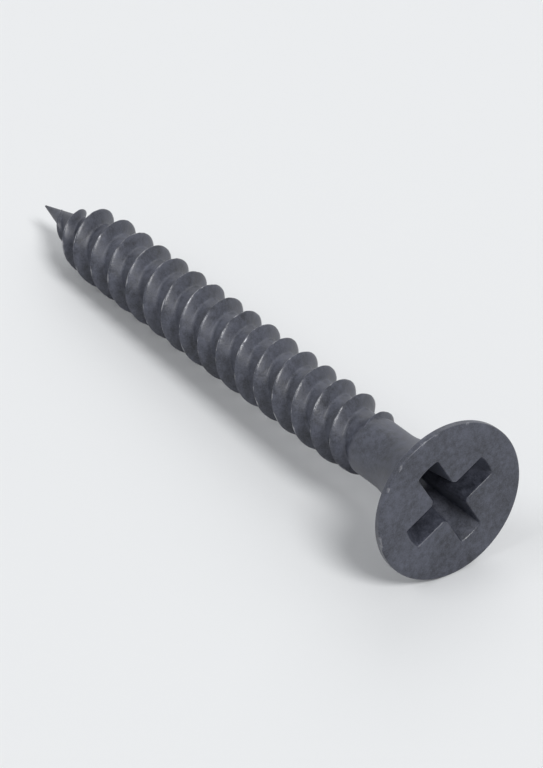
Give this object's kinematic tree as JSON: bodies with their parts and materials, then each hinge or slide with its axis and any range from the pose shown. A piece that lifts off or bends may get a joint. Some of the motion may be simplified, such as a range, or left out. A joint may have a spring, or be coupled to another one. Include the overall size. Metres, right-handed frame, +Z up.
{
  "type": "drywall screw",
  "caption": "Black bugle-head drywall screw with a cross recess, a coarse twin-start thread and a sharp point, lying at rest on rim and crest.",
  "frame": {"origin": "on the surface that the screw lies on, under the middle of its length and width", "axes": "+X along the lying screw from the tip to the head, +Z up; the screw's own axis rises 4.2 degrees towards the head, because the head is wider than the thread"},
  "size_m": [0.0352, 0.0082, 0.0082],
  "materials": {
    "phosphated_steel": "satin"
  },
  "bodies": {
    "root": {"drywall_screw": "phosphated_steel"}
  },
  "joints": []
}
